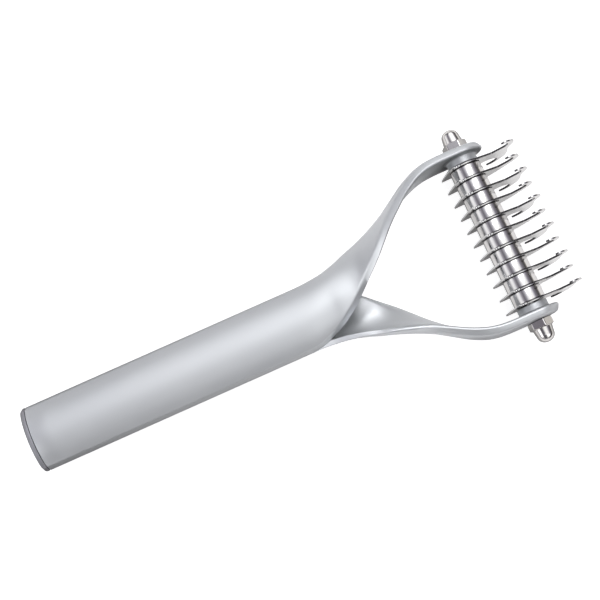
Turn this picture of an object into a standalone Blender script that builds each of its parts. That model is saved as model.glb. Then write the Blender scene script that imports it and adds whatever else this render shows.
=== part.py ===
"""Undercoat rake: a two-shell metal handle whose halves twist into the two arms
of a fork, and a pack of hooked blades and spacers clamped on a keyed axle
between the arms by two domed nuts.

Frame (metres): +X runs from the butt end of the handle to the blades, +Y along
the axle to the upper arm, +Z out of the front face.  The origin is the centre
of the butt end's flat face.  Sizes are in millimetres and angles in radians
unless marked; lengths are scaled by MM when a mesh is made.
"""
import math
from collections import namedtuple

import bpy
import bmesh
from mathutils import Matrix, Vector

MM = 0.001
MERGE = 1e-7            # metres; points closer than this are joined

# ---------------------------------------------------------------- handle and arms
AXLE_X = 178.0          # axle, from the butt face
HALF_W = 11.85          # handle half width (Y)
HALF_D = 8.0            # handle half depth (Z)
WALL = 1.8              # shell wall
PARTING = 0.05          # half the gap between the two shells
SPLIT_X = 101.0         # where the shells start to part

EAR_R = 8.6             # round end of an arm
EAR_IN = 30.3           # inner face of an ear from the middle plane
EAR_T = 3.3             # ear thickness
EAR_SIDE = 2.9          # height of an ear's side wall
EAR_BORE_R = 2.6
EAR_BORE_OVERCUT = 3.0  # how far the bore's cutter passes each face
BOSS_R = 5.55
BOSS_FACE = 27.55       # face of the boss, next to the end blade
BOSS_SINK = 1.0         # how far the boss runs into the ear
BOSS_PHASE = 0.06       # turn of the boss's facets

PIN_R = 1.5
PIN_HOLE_R = 1.6
PIN_X = (34.0, 88.0)
PIN_HALF = 4.0          # half length of a pin
PIN_END_GAP = 0.3
PIN_HOLE_START = -1.0   # Z where the hole's cutter starts
POST_R = 3.4
POST_TOP = HALF_D - 1.0

# ---------------------------------------------------------------- butt cap
CAP_T = 1.8             # plate thickness
CAP_GAP = 0.15          # gap between the cap and the shells
CAP_ROUND = 1.3         # round on the cap's outer edge
CAP_ROUND_STEPS = 4
CAP_EDGE_Z = 0.25       # where the plate's upper outline starts
CAP_POINTS = 18         # points along half of an outline
SPIGOT_END = 9.0        # how far the cap's spigot reaches in
SPIGOT_EDGE_Z = 0.3
SPIGOT_SIDE_GAP = 0.35  # to the shell wall, at the parting plane
SPIGOT_DROP = 0.25      # below the hollow's ceiling
SPIGOT_NARROW = 0.975   # width as a share of the hollow's

# ---------------------------------------------------------------- blade pack
N_BLADES = 11
PITCH = 5.374
BLADE_T = 0.65
STACK_GAP = 0.03        # between a blade and a spacer
SPACER_R = 5.8
SPACER_BEVEL = 0.25
BORE_R = 2.6            # blade and spacer bore
BORE_FLAT = 2.15        # half distance across a blade's bore flats
AXLE_R = 2.5
AXLE_FLAT = 2.05        # half distance across the axle's two flats
AXLE_END_R = 2.4        # the axle outside the pack
AXLE_END = 39.2         # half length of the axle
AXLE_TAPER = 0.5        # length of the taper at each tip
AXLE_TIP_SCALE = 0.85   # tip size over end size
PACK_HALF = (N_BLADES - 1) / 2 * PITCH + BLADE_T / 2

# ---------------------------------------------------------------- cap nuts
# Heights are from the nut's seat, outward.
NUT_AF = 8.0            # across flats
NUT_CORNER_R = NUT_AF / math.sqrt(3)
NUT_HEX = 2.8           # height of the hexagon
NUT_BLANK_START = -2.0  # where the untrimmed hexagon starts
NUT_H = 8.0
NUT_DOME_R = 3.55       # foot of the dome
NUT_DOME_TAPER = 0.35   # radius lost between the foot and the curved top
NUT_DOME_RISE = 2.7     # height of the curved top
NUT_DOME_SINK = 0.6     # how far the dome runs into the hexagon
NUT_DOME_STEPS = 8
NUT_SEAT = EAR_IN + EAR_T + 0.05
NUT_BORE_R = 2.5
NUT_BORE_DEPTH = 6.0
NUT_BORE_START = -1.0

CYLINDER_SEGMENTS = 32  # ear boss and bore
PIN_SEGMENTS = 20       # pins, posts and pin holes
TURNED_STEPS = 28       # revolved pieces and the nut's bore

# ---------------------------------------------------------------- scene
for ob in list(bpy.data.objects):
    bpy.data.objects.remove(ob, do_unlink=True)
for blocks in (bpy.data.meshes, bpy.data.curves, bpy.data.materials):
    for item in list(blocks):
        blocks.remove(item)

pieces = bpy.data.collections.new('undercoat_rake')
cutters = bpy.data.collections.new('cutters')
for collection in (pieces, cutters):
    bpy.context.scene.collection.children.link(collection)


def material(name, colour, roughness, metallic):
    mat = bpy.data.materials.new(name)
    mat.use_nodes = True
    inputs = mat.node_tree.nodes['Principled BSDF'].inputs
    inputs['Base Color'].default_value = (*colour, 1.0)
    inputs['Roughness'].default_value = roughness
    inputs['Metallic'].default_value = metallic
    mat.diffuse_color = (*colour, 1.0)
    return mat


SATIN = material('satin_cast_metal', colour=(0.60, 0.61, 0.64), roughness=0.38, metallic=0.85)
CAP_METAL = material('satin_cap_metal', colour=(0.50, 0.51, 0.54), roughness=0.40, metallic=0.85)
POLISHED = material('polished_steel', colour=(0.78, 0.77, 0.76), roughness=0.12, metallic=1.0)
BLADE_STEEL = material('blade_steel', colour=(0.66, 0.66, 0.67), roughness=0.20, metallic=1.0)
ROD_STEEL = material('rod_steel', colour=(0.60, 0.60, 0.61), roughness=0.25, metallic=1.0)


# ---------------------------------------------------------------- mesh helpers
def finish(ob, mat):
    """Give an object its material, and smooth shading that breaks at 35 degrees."""
    ob.data.materials.append(mat)
    ob.data.shade_smooth()
    ob.data.set_sharp_from_angle(angle=math.radians(35.0))
    return ob


def mesh_object(name, bm, collection=pieces):
    mesh = bpy.data.meshes.new(name)
    bm.to_mesh(mesh)
    bm.free()
    ob = bpy.data.objects.new(name, mesh)
    collection.objects.link(ob)
    return ob


def solid_object(name, bm, collection=pieces):
    """A mesh object with its face normals pointing outward."""
    bmesh.ops.recalc_face_normals(bm, faces=bm.faces)
    return mesh_object(name, bm, collection)


def loft(name, rings, closes=False):
    """Skin closed rings of equal count; one that closes on itself has no end cap."""
    bm = bmesh.new()
    rows = [[bm.verts.new(p) for p in ring] for ring in rings]
    count = len(rows[0])
    for a, b in zip(rows, rows[1:]):
        for i in range(count):
            bm.faces.new((a[i], a[(i + 1) % count], b[(i + 1) % count], b[i]))
    bm.faces.new(rows[0])
    if closes:
        bmesh.ops.remove_doubles(bm, verts=bm.verts, dist=MERGE)
    else:
        bm.faces.new(list(reversed(rows[-1])))
    bmesh.ops.triangulate(bm, faces=[f for f in bm.faces if len(f.verts) > 4])
    return solid_object(name, bm)


def prism(name, radius, bottom, top, segments, collection=cutters, phase=0.0):
    """A closed regular prism about the local Z axis."""
    bm = bmesh.new()
    centre = Matrix.Translation((0, 0, (bottom + top) / 2 * MM))
    bmesh.ops.create_cone(bm, cap_ends=True, segments=segments, radius1=radius * MM,
                          radius2=radius * MM, depth=(top - bottom) * MM,
                          matrix=centre @ Matrix.Rotation(phase, 4, 'Z'))
    return solid_object(name, bm, collection)


def cylinder(name, radius, start, end, segments, collection=cutters, phase=0.0):
    """A closed cylinder between two points."""
    start, end = Vector(start), Vector(end)
    half = (end - start).length / 2
    ob = prism(name, radius, -half, half, segments, collection, phase)
    aim = (end - start).to_track_quat('Z', 'Y').to_matrix().to_4x4()
    ob.data.transform(Matrix.Translation((start + end) / 2 * MM) @ aim)
    return ob


def revolve(name, profile, collection=pieces):
    """Screw a (radius, height) profile about the local Z axis."""
    bm = bmesh.new()
    verts = [bm.verts.new((radius * MM, 0, height * MM)) for radius, height in profile]
    for pair in zip(verts, verts[1:]):
        bm.edges.new(pair)
    ob = mesh_object(name, bm, collection)
    screw = ob.modifiers.new('turn', 'SCREW')
    screw.axis = 'Z'
    screw.steps = screw.render_steps = TURNED_STEPS
    screw.use_merge_vertices = True
    screw.merge_threshold = 1e-6
    return ob


def combine(ob, cutter, operation):
    """Boolean with a helper that stays in the scene as a hidden wire cutter."""
    cutter.hide_render = True
    cutter.display_type = 'WIRE'
    mod = ob.modifiers.new(operation.lower() + '_' + cutter.name, 'BOOLEAN')
    mod.operation = operation
    mod.object = cutter
    mod.solver = 'EXACT'


def with_cutters(ob):
    return [ob] + [mod.object for mod in ob.modifiers]


# ---------------------------------------------------------------- arm sections
# The front shell and upper arm, station by station along X: the section's first
# edge (Y, Z), which becomes its front inner edge; the twist in degrees; the
# width; and heights above the section's inner plane: top of the side wall,
# crown, ceiling of the hollow and top of the hollow's wall.
Station = namedtuple('Station', 'x edge_y edge_z twist width side crown hollow inwall')
ARM = (
    (SPLIT_X, -HALF_W, PARTING, 0.0, 2 * HALF_W, 3.45, HALF_D, 6.20, 2.60),
    (105.0, -11.45, 0.27, 1.0, 23.35, 3.45, 7.95, 6.10, 2.50),
    (108.0, -10.70, 0.55, 2.5, 22.80, 3.40, 7.85, 5.90, 2.30),
    (111.0, -9.60, 1.00, 5.0, 22.10, 3.40, 7.60, 5.50, 2.00),
    (114.4, -8.20, 1.56, 9.0, 21.40, 3.35, 7.20, 4.90, 1.60),
    (117.6, -6.45, 2.05, 13.5, 20.70, 3.30, 6.60, 4.10, 1.15),
    (121.0, -4.30, 2.75, 19.5, 20.00, 3.25, 5.95, 3.20, 0.70),
    (125.3, -0.95, 3.70, 28.0, 19.10, 3.20, 5.20, 2.30, 0.40),
    (130.0, 3.10, 4.80, 40.0, 18.30, 3.25, 4.70, 1.45, 0.10),
    (136.0, 8.30, 6.25, 54.0, 17.80, 3.45, 4.60, 0.85, 0.0),
    (140.0, 12.30, 7.05, 64.0, 17.50, 3.65, 4.70, 0.55, 0.0),
    (144.5, 16.90, 7.75, 74.0, 17.30, 3.75, 4.70, 0.30, 0.0),
    (149.8, 21.50, 8.25, 80.0, 17.20, 3.80, 4.60, 0.12, 0.0),
    (153.5, 24.50, 8.45, 83.5, 17.20, 3.75, 4.45, 0.04, 0.0),
    (157.0, 26.80, 8.55, 86.0, 17.20, 3.55, 4.20, 0.0, 0.0),
    (160.5, 28.60, 8.60, 88.0, 17.20, 3.35, 3.90, 0.0, 0.0),
    (165.0, 29.90, 8.60, 89.5, 17.20, 3.05, 3.50, 0.0, 0.0),
    (170.0, EAR_IN, EAR_R, 90.0, 2 * EAR_R, EAR_SIDE, EAR_T, 0.0, 0.0),
    (AXLE_X, EAR_IN, EAR_R, 90.0, 2 * EAR_R, EAR_SIDE, EAR_T, 0.0, 0.0),
)
ARM_COLUMNS = list(zip(*ARM))
HANDLE_X = (CAP_T + CAP_GAP, 30.0, 66.0, 92.0)   # rings before the split
ARM_STEPS = 27          # from the split to the axle
EAR_STEPS = 8           # round the ear's end, per quarter turn

# The section changes from the handle's form at twist 0 to a strap's form.
# Pairs are (handle, strap) values.
STRAP_TWIST = 60.0      # degrees
FOOT_ROUND = (0.10, 0.90)       # round at the foot of the side wall
CREASE_ROUND = (0.15, 1.40)     # round where the side wall meets the crown
CREASE_MAX_SHARE = 0.45         # of the side wall's height
CREASE_END_RISE = 0.92          # scale on the rise at the crease's crown end
HANDLE_BEVEL = 1.15     # how far the side wall leans in
STRAP_BEVEL = 1.10      # the same on a strap with the ear's side height
BEVEL_GROWTH = 0.55     # more bevel per mm of side height above the ear's
STRAP_BEVEL_MAX = 1.55
HOLLOW_STEP = 0.05      # lean of the hollow's wall, as a share of the half width
HOLLOW_LEAN = 0.35      # further lean of a wall at least this high:
HOLLOW_LEAN_HEIGHT = 2.0
CORNER_POINTS = 3
CROWN_POINTS = 9
HOLLOW_POINTS = 5


def monotone_cubic(xs, ys, x):
    """Monotone cubic through (xs, ys), level at and beyond the ends."""
    if x <= xs[0]:
        return ys[0]
    if x >= xs[-1]:
        return ys[-1]
    last = len(xs) - 1
    steps = [b - a for a, b in zip(xs, xs[1:])]
    grades = [(ys[i + 1] - ys[i]) / steps[i] for i in range(last)]

    def slope(i):
        if i in (0, last) or grades[i - 1] * grades[i] <= 0.0:
            return 0.0
        before = 2 * steps[i] + steps[i - 1]
        after = steps[i] + 2 * steps[i - 1]
        return (before + after) / (before / grades[i - 1] + after / grades[i])

    i = max(k for k in range(last) if xs[k] <= x)
    return hermite((x - xs[i]) / steps[i], ys[i], steps[i] * slope(i),
                   ys[i + 1], steps[i] * slope(i + 1))


def hermite(t, start, start_slope, end, end_slope):
    return ((2 * t ** 3 - 3 * t ** 2 + 1) * start + (t ** 3 - 2 * t ** 2 + t) * start_slope
            + (3 * t ** 2 - 2 * t ** 3) * end + (t ** 3 - t ** 2) * end_slope)


def station(x):
    return Station(x, *(monotone_cubic(ARM_COLUMNS[0], column, x) for column in ARM_COLUMNS[1:]))


def blend(pair, share):
    return pair[0] + (pair[1] - pair[0]) * share


def arc_radius(half, sag):
    return (half * half + sag * sag) / (2 * sag)


def arc(half, low, high, count):
    """Points inside a circular arc from (-half, low) over (0, high) to (half, low)."""
    shares = [2 * (i + 1) / (count + 1) - 1 for i in range(count)]
    sag = high - low
    if sag < 1e-6:
        return [(half * share, low) for share in shares]
    radius = arc_radius(half, sag)
    sweep = math.asin(half / radius)
    return [(radius * math.sin(sweep * share), high - radius + radius * math.cos(sweep * share))
            for share in shares]


def section(shape):
    """The outside and the hollow of a section, each from its first edge to its last.

    Points are (across, up) in the arm's own plane: across is measured from the
    section's middle, up is outward.
    """
    half, side = shape.width / 2, shape.side
    strap = min(1.0, shape.twist / STRAP_TWIST)
    strap_bevel = min(STRAP_BEVEL_MAX, STRAP_BEVEL + BEVEL_GROWTH * (side - EAR_SIDE))
    bevel = blend((HANDLE_BEVEL, strap_bevel), strap)

    foot_round = blend(FOOT_ROUND, strap)
    edge = []
    for i in range(CORNER_POINTS):
        angle = math.pi / 2 * i / (CORNER_POINTS - 1)
        edge.append((-half + foot_round * (1 - math.sin(angle)),
                     foot_round * (1 - math.cos(angle))))

    # the rounded crease: a quadratic curve whose middle control point is the sharp corner
    reach = min(blend(CREASE_ROUND, strap), CREASE_MAX_SHARE * (side - foot_round))
    corner = (bevel - half, side)
    wall = Vector((bevel, side - foot_round)).normalized()
    start = (corner[0] - wall.x * reach, corner[1] - wall.y * reach)
    crown_half = half - bevel
    rise = math.asin(crown_half / arc_radius(crown_half, shape.crown - side))
    end = (corner[0] + math.cos(rise) * reach,
           side + math.sin(rise) * reach * CREASE_END_RISE)
    for i in range(CORNER_POINTS):
        t = i / (CORNER_POINTS - 1)
        edge.append(tuple((1 - t) ** 2 * s + 2 * t * (1 - t) * c + t * t * e
                          for s, c, e in zip(start, corner, end)))
    outside = (edge + arc(-end[0], end[1], shape.crown, CROWN_POINTS)
               + [(-across, up) for across, up in reversed(edge)])

    rim = half - WALL
    lean = HOLLOW_LEAN * min(1.0, shape.inwall / HOLLOW_LEAN_HEIGHT)
    ceiling = rim - lean - HOLLOW_STEP * half
    hollow = ([(-rim, 0.0), (-ceiling, shape.inwall)]
              + arc(ceiling, shape.inwall, shape.hollow, HOLLOW_POINTS)
              + [(ceiling, shape.inwall), (rim, 0.0)])
    return outside, hollow


def section_loop(shape):
    outside, hollow = section(shape)
    return outside + hollow[::-1]


def arm_ring(x):
    """The section at x, as points in space."""
    shape = station(x)
    sine, cosine = math.sin(math.radians(shape.twist)), math.cos(math.radians(shape.twist))
    mid_y = shape.edge_y + shape.width / 2 * cosine
    mid_z = shape.edge_z - shape.width / 2 * sine
    return [Vector((x, mid_y + across * cosine + up * sine,
                    mid_z - across * sine + up * cosine)) * MM
            for across, up in section_loop(shape)]


def ear_ring(angle):
    """The section at the axle, swung about the axle to make the ear's round end."""
    return [Vector((AXLE_X + abs(across) * math.sin(angle), EAR_IN + up,
                    -across * math.cos(angle))) * MM
            for across, up in section_loop(station(AXLE_X))]


# ---------------------------------------------------------------- the shells
def shell(name, turn_over):
    """The front shell with the upper arm, or the same turned over about X."""
    arm_x = [SPLIT_X + (AXLE_X - SPLIT_X) * i / ARM_STEPS for i in range(ARM_STEPS + 1)]
    swings = [math.pi / 2 * i / EAR_STEPS for i in range(1, EAR_STEPS + 1)]
    ob = loft(name, [arm_ring(x) for x in [*HANDLE_X, *arm_x]] + [ear_ring(a) for a in swings],
              closes=True)
    combine(ob, cylinder(name + '_boss', BOSS_R, (AXLE_X, BOSS_FACE, 0),
                         (AXLE_X, EAR_IN + BOSS_SINK, 0), CYLINDER_SEGMENTS,
                         phase=BOSS_PHASE), 'UNION')
    for k, x in enumerate(PIN_X, 1):
        combine(ob, cylinder('%s_post_%d' % (name, k), POST_R, (x, 0, PARTING),
                             (x, 0, POST_TOP), PIN_SEGMENTS), 'UNION')
        combine(ob, cylinder('%s_pin_hole_%d' % (name, k), PIN_HOLE_R, (x, 0, PIN_HOLE_START),
                             (x, 0, PIN_HALF + PIN_END_GAP), PIN_SEGMENTS), 'DIFFERENCE')
    combine(ob, cylinder(name + '_bore', EAR_BORE_R,
                         (AXLE_X, BOSS_FACE - EAR_BORE_OVERCUT, 0),
                         (AXLE_X, EAR_IN + EAR_T + EAR_BORE_OVERCUT, 0),
                         CYLINDER_SEGMENTS), 'DIFFERENCE')
    if turn_over:
        for part in with_cutters(ob):
            part.data.transform(Matrix.Rotation(math.pi, 4, 'X'))
    finish(ob, SATIN)


# ---------------------------------------------------------------- butt cap
def resample(points, count):
    """Points spaced evenly along an open polyline, ends kept."""
    lengths = [math.dist(a, b) for a, b in zip(points, points[1:])]
    out = []
    for i in range(count):
        left, k = sum(lengths) * i / (count - 1), 0
        while k < len(lengths) - 1 and left > lengths[k]:
            left -= lengths[k]
            k += 1
        t = min(1.0, left / lengths[k])
        out.append(tuple(a + t * (b - a) for a, b in zip(points[k], points[k + 1])))
    return out


def cap_outline(points, edge_y, edge_z):
    """Points between (-edge_y, edge_z) and (edge_y, edge_z), closed by their half turn."""
    upper = resample([(-edge_y, edge_z)] + points + [(edge_y, edge_z)], CAP_POINTS)
    return upper + [(-y, -z) for y, z in upper]


def cap_ring(x, points, inset=0.0):
    scale_y, scale_z = 1 - inset / HALF_W, 1 - inset / HALF_D
    return [Vector((x, y * scale_y, z * scale_z)) * MM for y, z in points]


def butt_cap():
    """A rounded plate over the butt end, with a spigot into the hollow."""
    outside, hollow = section(station(SPLIT_X))
    # the plate leaves out the rounds at the foot of the side walls
    plate_outline = cap_outline(outside[CORNER_POINTS:-CORNER_POINTS], HALF_W, CAP_EDGE_Z)
    spigot_outline = cap_outline([(y * SPIGOT_NARROW, z - SPIGOT_DROP) for y, z in hollow[1:-1]],
                                 HALF_W - WALL - SPIGOT_SIDE_GAP, SPIGOT_EDGE_Z)
    rings = []
    for i in range(CAP_ROUND_STEPS, -1, -1):
        angle = math.pi / 2 * i / CAP_ROUND_STEPS
        rings.append(cap_ring(CAP_ROUND * (1 - math.sin(angle)), plate_outline,
                              CAP_ROUND * (1 - math.cos(angle))))
    rings += [cap_ring(CAP_T, plate_outline), cap_ring(CAP_T, spigot_outline),
              cap_ring(SPIGOT_END, spigot_outline)]
    finish(loft('butt_cap', rings), CAP_METAL)


def locating_pins():
    for k, x in enumerate(PIN_X, 1):
        finish(cylinder('locating_pin_%d' % k, PIN_R, (x, 0, -PIN_HALF), (x, 0, PIN_HALF),
                        PIN_SEGMENTS, pieces), ROD_STEEL)


# ---------------------------------------------------------------- blade pack
# Control points of a blade: (forward of the axle, toward the front face, corner);
# corner 1 is a sharp point of the outline.  A hook list runs from the front edge
# round the tip to the rear edge, and the heel closes it behind the axle.
SINGLE_HOOK = [
    (-2.4, 6.75, 1), (0.0, 7.0, 0), (1.5, 6.84, 0), (2.9, 6.42, 0), (4.6, 5.83, 0), (6.4, 5.2, 0),
    (8.2, 4.56, 0), (9.9, 3.96, 1), (11.5, 4.62, 0), (13.1, 5.4, 0), (14.4, 6.3, 0), (15.1, 7.5, 0),
    (14.8, 9.2, 0), (13.5, 10.3, 0), (11.8, 10.9, 1), (12.9, 11.7, 0), (14.6, 11.45, 0),
    (16.2, 10.25, 0), (17.3, 8.4, 0), (17.3, 6.2, 0), (16.2, 4.1, 0), (14.6, 2.2, 0),
    (12.4, 0.2, 0), (10.4, -1.3, 0), (8.4, -2.8, 0), (6.6, -3.9, 0)]
DOUBLE_HOOK = [
    (-2.4, 6.75, 1), (0.0, 7.0, 0), (1.5, 6.84, 0), (2.9, 6.42, 0), (4.6, 5.85, 0), (6.4, 5.25, 0),
    (8.4, 4.62, 0), (10.2, 4.05, 1), (11.8, 4.62, 0), (13.5, 5.2, 0), (14.9, 5.9, 0), (15.7, 7.2, 0),
    (15.4, 9.2, 0), (14.4, 10.3, 0), (12.8, 10.9, 1), (13.9, 11.75, 0), (15.5, 11.4, 0),
    (17.0, 10.2, 0), (18.0, 8.3, 0), (17.8, 5.9, 0), (17.0, 3.6, 0), (16.7, 1.2, 0),
    (17.0, -1.6, 0), (17.0, -4.4, 0), (16.4, -7.0, 0), (15.1, -9.1, 0), (13.3, -10.5, 0),
    (11.5, -11.1, 0), (9.8, -10.7, 1), (11.5, -10.05, 0), (12.8, -8.95, 0), (13.4, -7.4, 0),
    (13.0, -5.7, 0), (11.8, -4.4, 0), (10.1, -3.5, 0), (8.4, -3.3, 0), (6.8, -3.8, 0)]
HEEL = [
    (4.5, -5.2, 0), (1.6, -6.4, 0), (-1.8, -6.6, 0), (-5.0, -6.5, 0), (-8.3, -7.0, 1),
    (-7.9, -3.2, 0), (-7.3, 0.9, 0), (-6.6, 5.0, 0), (-5.4, 8.1, 1), (-3.9, 6.0, 0)]
STEPS_PER_SPAN = 2      # outline points per control point
KEY_ARC_STEPS = 9       # along each round side of a keyed outline


def smooth_outline(points):
    """A closed Catmull-Rom path that breaks at the corners."""
    count, out = len(points), []
    for i in range(count):
        before, start, end, after = (points[(i + k) % count] for k in (-1, 0, 1, 2))
        if start[2]:
            before = start
        if end[2]:
            after = end
        for j in range(STEPS_PER_SPAN):
            out.append(tuple(hermite(j / STEPS_PER_SPAN, start[c], (end[c] - before[c]) / 2,
                                     end[c], (after[c] - start[c]) / 2) for c in (0, 1)))
    return out


def keyed_outline(radius, flat):
    """A circle of the given radius with two flats, at x = +flat and x = -flat."""
    first = math.acos(flat / radius)
    angles = [half_turn + first + (math.pi - 2 * first) * i / KEY_ARC_STEPS
              for half_turn in (0.0, math.pi) for i in range(KEY_ARC_STEPS + 1)]
    return [(radius * math.cos(angle), radius * math.sin(angle)) for angle in angles]


def plate(name, outlines, y):
    """A blade-thick plate at y in the pack's frame, from a filled 2D curve."""
    curve = bpy.data.curves.new(name + '_outline', 'CURVE')
    curve.dimensions = '2D'
    curve.fill_mode = 'BOTH'
    curve.extrude = BLADE_T / 2 * MM
    for points in outlines:
        spline = curve.splines.new('POLY')
        spline.points.add(len(points) - 1)
        for point, (forward, front) in zip(spline.points, points):
            point.co = (forward * MM, front * MM, 0, 1)
        spline.use_cyclic_u = True
    source = bpy.data.objects.new(name + '_curve', curve)
    bpy.context.scene.collection.objects.link(source)
    bpy.context.view_layer.update()
    depsgraph = bpy.context.evaluated_depsgraph_get()
    mesh = bpy.data.meshes.new_from_object(source.evaluated_get(depsgraph))
    bpy.data.objects.remove(source, do_unlink=True)
    # the curve's X stays X, its Y becomes Z, and its thickness runs along Y
    mesh.transform(Matrix.Translation((0, y * MM, 0)) @ Matrix.Rotation(math.pi / 2, 4, 'X'))
    bm = bmesh.new()
    bm.from_mesh(mesh)
    bpy.data.meshes.remove(mesh)
    bmesh.ops.remove_doubles(bm, verts=bm.verts, dist=MERGE)
    return solid_object(name, bm)


def stack_y(index, count):
    """Y of one of count pieces stacked at the pitch, from the upper one down."""
    return ((count - 1) / 2 - index) * PITCH


def on_pack(ob, pack_axis, y=0.0):
    """Put an object's origin on the axle and parent it to the pack."""
    ob.location = Vector((AXLE_X, y, 0)) * MM
    ob.parent = pack_axis
    ob.matrix_parent_inverse = pack_axis.matrix_basis.inverted()


def blades(pack_axis):
    """Double and single hooks in turn, starting and ending with a double."""
    shapes = [smooth_outline(hook + HEEL) for hook in (DOUBLE_HOOK, SINGLE_HOOK)]
    keyway = keyed_outline(BORE_R, BORE_FLAT)
    for k in range(N_BLADES):
        blade = plate('blade_%02d' % (k + 1), (shapes[k % 2], keyway), stack_y(k, N_BLADES))
        on_pack(finish(blade, BLADE_STEEL), pack_axis)


def spacers(pack_axis):
    half = (PITCH - BLADE_T) / 2 - STACK_GAP
    face_r, bevel_end = SPACER_R - SPACER_BEVEL, half - SPACER_BEVEL
    profile = [(BORE_R, half), (face_r, half), (SPACER_R, bevel_end), (SPACER_R, -bevel_end),
               (face_r, -half), (BORE_R, -half), (BORE_R, half)]
    for k in range(N_BLADES - 1):
        spacer = revolve('spacer_%02d' % (k + 1), profile)
        spacer.rotation_euler = (-math.pi / 2, 0, 0)       # the profile's Z runs along +Y
        on_pack(finish(spacer, POLISHED), pack_axis, stack_y(k, N_BLADES - 1))


def axle(pack_axis):
    """A keyed bar, stepped down outside the pack and tapered at both tips."""
    end_scale = AXLE_END_R / AXLE_R
    upper = [(PACK_HALF, 1.0), (PACK_HALF, end_scale), (AXLE_END - AXLE_TAPER, end_scale),
             (AXLE_END, end_scale * AXLE_TIP_SCALE)]
    lower = [(-y, scale) for y, scale in reversed(upper)]
    outline = keyed_outline(AXLE_R, AXLE_FLAT)
    rings = [[Vector((x * scale, y, z * scale)) * MM for x, z in outline]
             for y, scale in lower + upper]
    on_pack(finish(loft('axle', rings), ROD_STEEL), pack_axis)


# ---------------------------------------------------------------- cap nuts
def cap_nut(name, sign, turn):
    """A domed nut: hexagon with chamfered corners, a dome, and a blind bore."""
    nut = prism(name, NUT_CORNER_R, NUT_BLANK_START, NUT_HEX, 6, pieces, math.radians(turn))
    # a turned envelope trims the hexagon, so that its corners are chamfered
    flat_r, outer_r = NUT_AF / 2, NUT_CORNER_R + 0.05
    corner_excess = NUT_CORNER_R - flat_r
    combine(nut, revolve(name + '_envelope', [
        (0.0, NUT_HEX), (flat_r - 0.25, NUT_HEX), (outer_r, NUT_HEX - 0.75 * corner_excess),
        (outer_r, 0.3 * corner_excess), (flat_r - 0.1, 0.0), (0.0, 0.0)], cutters), 'INTERSECT')

    top_r, top_base = NUT_DOME_R - NUT_DOME_TAPER, NUT_H - NUT_DOME_RISE
    profile = [(0.0, NUT_H)]
    for i in range(1, NUT_DOME_STEPS):
        angle = math.pi / 2 * i / NUT_DOME_STEPS
        profile.append((top_r * math.sin(angle), top_base + NUT_DOME_RISE * math.cos(angle)))
    foot = NUT_HEX - NUT_DOME_SINK
    profile += [(top_r, top_base), (NUT_DOME_R, foot), (0.0, foot)]
    combine(nut, revolve(name + '_dome', profile, cutters), 'UNION')
    combine(nut, prism(name + '_thread_bore', NUT_BORE_R, NUT_BORE_START, NUT_BORE_DEPTH,
                       TURNED_STEPS), 'DIFFERENCE')

    seat = Matrix.Translation(Vector((AXLE_X, sign * NUT_SEAT, 0)) * MM)
    for part in with_cutters(nut):
        part.matrix_world = seat @ Matrix.Rotation(-sign * math.pi / 2, 4, 'X')
    finish(nut, POLISHED)


# ---------------------------------------------------------------- build
shell('front_half', turn_over=False)
shell('rear_half', turn_over=True)
butt_cap()
locating_pins()

pack = bpy.data.objects.new('pack_axis', None)
pack.location = Vector((AXLE_X, 0, 0)) * MM
pieces.objects.link(pack)
blades(pack)
spacers(pack)
axle(pack)

# turn: where each nut stopped, in degrees
cap_nut('upper_cap_nut', sign=1, turn=45.0)
cap_nut('lower_cap_nut', sign=-1, turn=22.0)

bpy.context.view_layer.update()
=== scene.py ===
"""Undercoat rake: the visual model, riding on the CAD frame.

The handle lies along +X from its butt at x = 0 to the axle at AXLE_X, where it
forks.  The axle and its pack of blades lie along Y, and the front half of the
handle faces +Z.  The shape code works in millimetres, the scene in metres.
"""
import math

import bmesh
import bpy
from mathutils import Matrix, Vector
from mathutils.geometry import tessellate_polygon


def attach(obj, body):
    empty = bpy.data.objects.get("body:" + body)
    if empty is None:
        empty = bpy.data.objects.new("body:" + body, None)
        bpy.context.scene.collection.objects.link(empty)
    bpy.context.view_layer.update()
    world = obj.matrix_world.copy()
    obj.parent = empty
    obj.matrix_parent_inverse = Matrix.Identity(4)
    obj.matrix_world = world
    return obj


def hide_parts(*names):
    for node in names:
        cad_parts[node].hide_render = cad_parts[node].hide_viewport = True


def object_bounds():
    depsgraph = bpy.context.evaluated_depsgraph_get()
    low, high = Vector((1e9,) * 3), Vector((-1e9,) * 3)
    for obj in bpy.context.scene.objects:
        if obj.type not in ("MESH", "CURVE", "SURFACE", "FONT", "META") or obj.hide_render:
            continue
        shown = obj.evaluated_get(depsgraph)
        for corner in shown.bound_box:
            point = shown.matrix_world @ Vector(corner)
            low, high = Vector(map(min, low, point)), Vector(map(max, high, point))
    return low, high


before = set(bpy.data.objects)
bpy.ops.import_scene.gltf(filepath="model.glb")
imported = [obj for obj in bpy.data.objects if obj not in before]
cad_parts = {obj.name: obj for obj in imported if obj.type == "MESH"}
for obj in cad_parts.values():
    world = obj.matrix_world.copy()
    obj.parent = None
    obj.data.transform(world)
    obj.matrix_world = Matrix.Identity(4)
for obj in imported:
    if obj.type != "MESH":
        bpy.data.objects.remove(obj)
cad_box = [[float(v) for v in corner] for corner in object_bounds()]

MM = 0.001

# ------------------------------------------------------------ dimensions (mm)
CLEARANCE = 0.1          # radial play round the axle and the pins

# handle and butt cap
AXLE_X = 178.0
SPLIT_X = 101.0          # the grip ends and the fork arms begin
HALF_W = 11.85           # along Y
HALF_D = 8.0             # along Z
WALL = 1.8
PARTING = 0.05           # half the gap between the handle's halves
CAP_T = 1.8
CAP_GAP = 0.15
CAP_ROUND = 1.3
SPIGOT_END = 9.0
SHELL_START = CAP_T + CAP_GAP

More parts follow.
